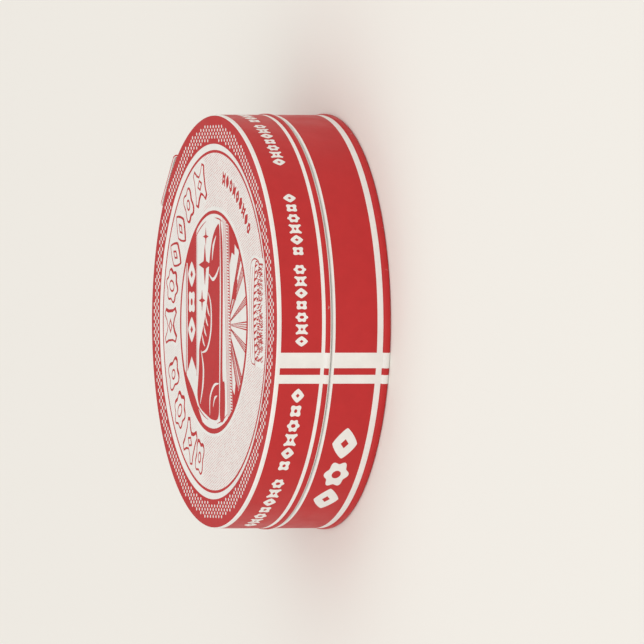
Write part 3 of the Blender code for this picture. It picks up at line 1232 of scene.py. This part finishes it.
def rimFaces(mesh):
    # the plate's cut rim, all round, leaving the boss and the rivet hole bare
    out = Vector((math.cos(keyLook["azimuth"]), math.sin(keyLook["azimuth"]), 0))
    pivot = Vector((0, 0, keyLook["pivot"] * mm))
    found = []
    for face in mesh.polygons:
        away = face.center - pivot
        reach = away.dot(out)
        clear = (away - out * reach).length > keyLook["bossClear"] * mm
        onEdge = -0.12 < face.normal.dot(out) < 0.97
        if onEdge and clear and reach > keyLook["innerFace"] * mm:
            found.append(face)
    return found


def makeKeyPiece(name, node, body, tint):
    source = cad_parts[node]
    mesh = source.data.copy()
    mesh.name = name
    mesh.materials.clear()
    mesh.materials.append(makePlate(name + "Plate", tint))
    piece = addObject(name, mesh)
    piece.matrix_world = source.matrix_world
    for face in mesh.polygons:
        face.use_smooth = True
        face.material_index = 0
    mesh.set_sharp_from_angle(angle=math.radians(keyLook["crease"]))
    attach(piece, body)
    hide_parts(node)
    return piece


keyRibs = {
    "heights": (18.4, 19.8, 21.2),
    "length": 8.4,
    "thick": 0.55,
    "high": 0.18,
    "sunk": 0.02,           # mm into the plate
    "along": 12,            # steps along a rib and over it
    "over": 8,
    "crease": 60,
}


def makeKeyRibs():
    # pressed ribs for the thumb on the outside of the upper wing
    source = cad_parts["twist_key"]
    corners = [source.matrix_world @ v.co for v in source.data.vertices]
    out = Vector((math.cos(keyLook["azimuth"]), math.sin(keyLook["azimuth"]), 0))
    across = Vector((-out.y, out.x, 0))
    outside = max(corner.dot(out) for corner in corners)
    half, thick, high = keyRibs["length"] / 2, keyRibs["thick"] / 2, keyRibs["high"]
    along, over = keyRibs["along"], keyRibs["over"]
    bm = bmesh.new()
    for z in keyRibs["heights"]:
        rings = []
        for i in range(along + 1):
            t = -1 + 2 * i / along
            swell = math.sqrt(max(0.0, 1 - t ** 6)) if abs(t) < 1 else 0.25
            ring = []
            for k in range(over + 1):
                a = math.pi * k / over
                side, lift = math.cos(a) * thick * swell, math.sin(a) * high * swell
                spot = out * (outside - keyRibs["sunk"] * mm + lift * mm) + across * (t * half * mm)
                ring.append(bm.verts.new((spot.x, spot.y, (z + side) * mm)))
            rings.append(ring)
        for a, b in zip(rings, rings[1:]):
            for k in range(over + 1):
                n = (k + 1) % (over + 1)
                bm.faces.new((a[k], a[n], b[n], b[k]))
        bm.faces.new(rings[0][::-1])
        bm.faces.new(rings[-1])
    bmesh.ops.recalc_face_normals(bm, faces=bm.faces)
    for face in bm.faces:
        face.smooth = True
    mesh = takeMesh("keyRibs", bm, keyRibs["crease"])
    mesh.materials.append(makePlate("keyRibsPlate", keyLook["plate"]))
    ribs = addObject("keyRibs", mesh)
    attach(ribs, "key")
    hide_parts("twist_key")


keyPlate = makeKeyPiece("keyPlate", "twist_key", "key", keyLook["plate"])
keyPlate.data.materials.append(makeInk("keyLacquer", inks["red"]))
for face in rimFaces(keyPlate.data):
    face.material_index = 1
makeKeyPiece("rivetHead", "key_rivet", "base", keyLook["rivet"])
makeKeyRibs()
print("key and rivet ready")


# floor, light and camera

studio = {
    "floorColour": (0.820, 0.790, 0.742),
    "floorHalf": 6.0,       # m
    "floorDrop": 0.00002,   # m, just clear of the foot
    "skyColour": (1.0, 0.995, 0.98),
    "sky": 1.05,
    "horizon": 0.35,
    "skyAbove": (0.35, 0.70),  # bright from this height up
    "skyFront": (0.75, 0.30),  # and bright again towards the front
    "panelPlace": (-0.35, -1.3, 0.95),
    "panelSize": (1.2, 0.9),
    "panelPower": 4.0,
    "elevation": 18.0,      # degrees the camera looks down
    "lens": 1000.0,
    "sensor": 36,
    "frameWidth": 137.2,    # mm across the frame at the tin
    "aim": (-0.1, 0.0, 1.0),
}


def makeFloor():
    mesh = bpy.data.meshes.new("floor")
    h = studio["floorHalf"]
    mesh.from_pydata([(-h, -h, 0), (h, -h, 0), (h, h, 0), (-h, h, 0)], [], [(0, 1, 2, 3)])
    floor = addObject("floor", mesh)
    floor.location.z = -studio["floorDrop"]
    mat, tree, shader = newMaterial("floorPaper")
    cloud = noiseValue(tree, 4, 4)
    colour = studio["floorColour"]
    base = mixColours(tree, cloud, shade(colour, 0.99), shade(colour, 1.01))
    tree.links.new(base, shader.inputs["Base Color"])
    shader.inputs["Roughness"].default_value = 0.95
    shader.inputs["Specular IOR Level"].default_value = 0.0
    mesh.materials.append(mat)


def makeSky():
    # bright overhead and in front, dim near the horizon behind, so the lacquer stays saturated
    world = bpy.data.worlds.new("softSky")
    scene.world = world
    world.use_nodes = True
    tree = world.node_tree
    background = tree.nodes["Background"]
    parts = addNode(tree, "ShaderNodeSeparateXYZ")
    tree.links.new(addNode(tree, "ShaderNodeTexCoord").outputs["Generated"], parts.inputs["Vector"])
    above = rampValue(tree, parts.outputs["Z"], *studio["skyAbove"])
    front = rampValue(tree, parts.outputs["Y"], *studio["skyFront"])
    lit = mathNode(tree, "MAXIMUM", above, front)
    level = mathNode(tree, "MULTIPLY_ADD", lit, studio["sky"] - studio["horizon"], studio["horizon"])
    tree.links.new(level, background.inputs["Strength"])
    background.inputs["Color"].default_value = (*studio["skyColour"], 1)


def addPanel(name, position, size, power):
    data = bpy.data.lights.new(name, "AREA")
    data.shape = "RECTANGLE"
    data.size, data.size_y = size
    data.energy = power
    lamp = addObject(name, data)
    lamp.location = position
    lamp.rotation_euler = (-Vector(position)).to_track_quat("-Z", "Y").to_euler()


def makeCamera():
    tilt = math.radians(studio["elevation"])
    sight = Vector((0, math.cos(tilt), -math.sin(tilt)))
    data = bpy.data.cameras.new("camera")
    data.lens = studio["lens"]
    data.sensor_width = studio["sensor"]
    distance = studio["frameWidth"] * mm * data.lens / data.sensor_width
    data.clip_start, data.clip_end = 0.1, distance * 4
    camera = addObject("camera", data)
    camera.location = Vector(studio["aim"]) * mm - sight * distance
    # the view is turned a quarter, so the tin's right is up
    up = Vector((1, 0, 0))
    right = sight.cross(up)
    rotation = [[right[i], up[i], -sight[i]] for i in range(3)]
    camera.rotation_euler = Matrix(rotation).to_euler()
    scene.camera = camera


makeFloor()
makeSky()
addPanel("frontPanel", studio["panelPlace"], studio["panelSize"], studio["panelPower"])
makeCamera()
print("stage set")
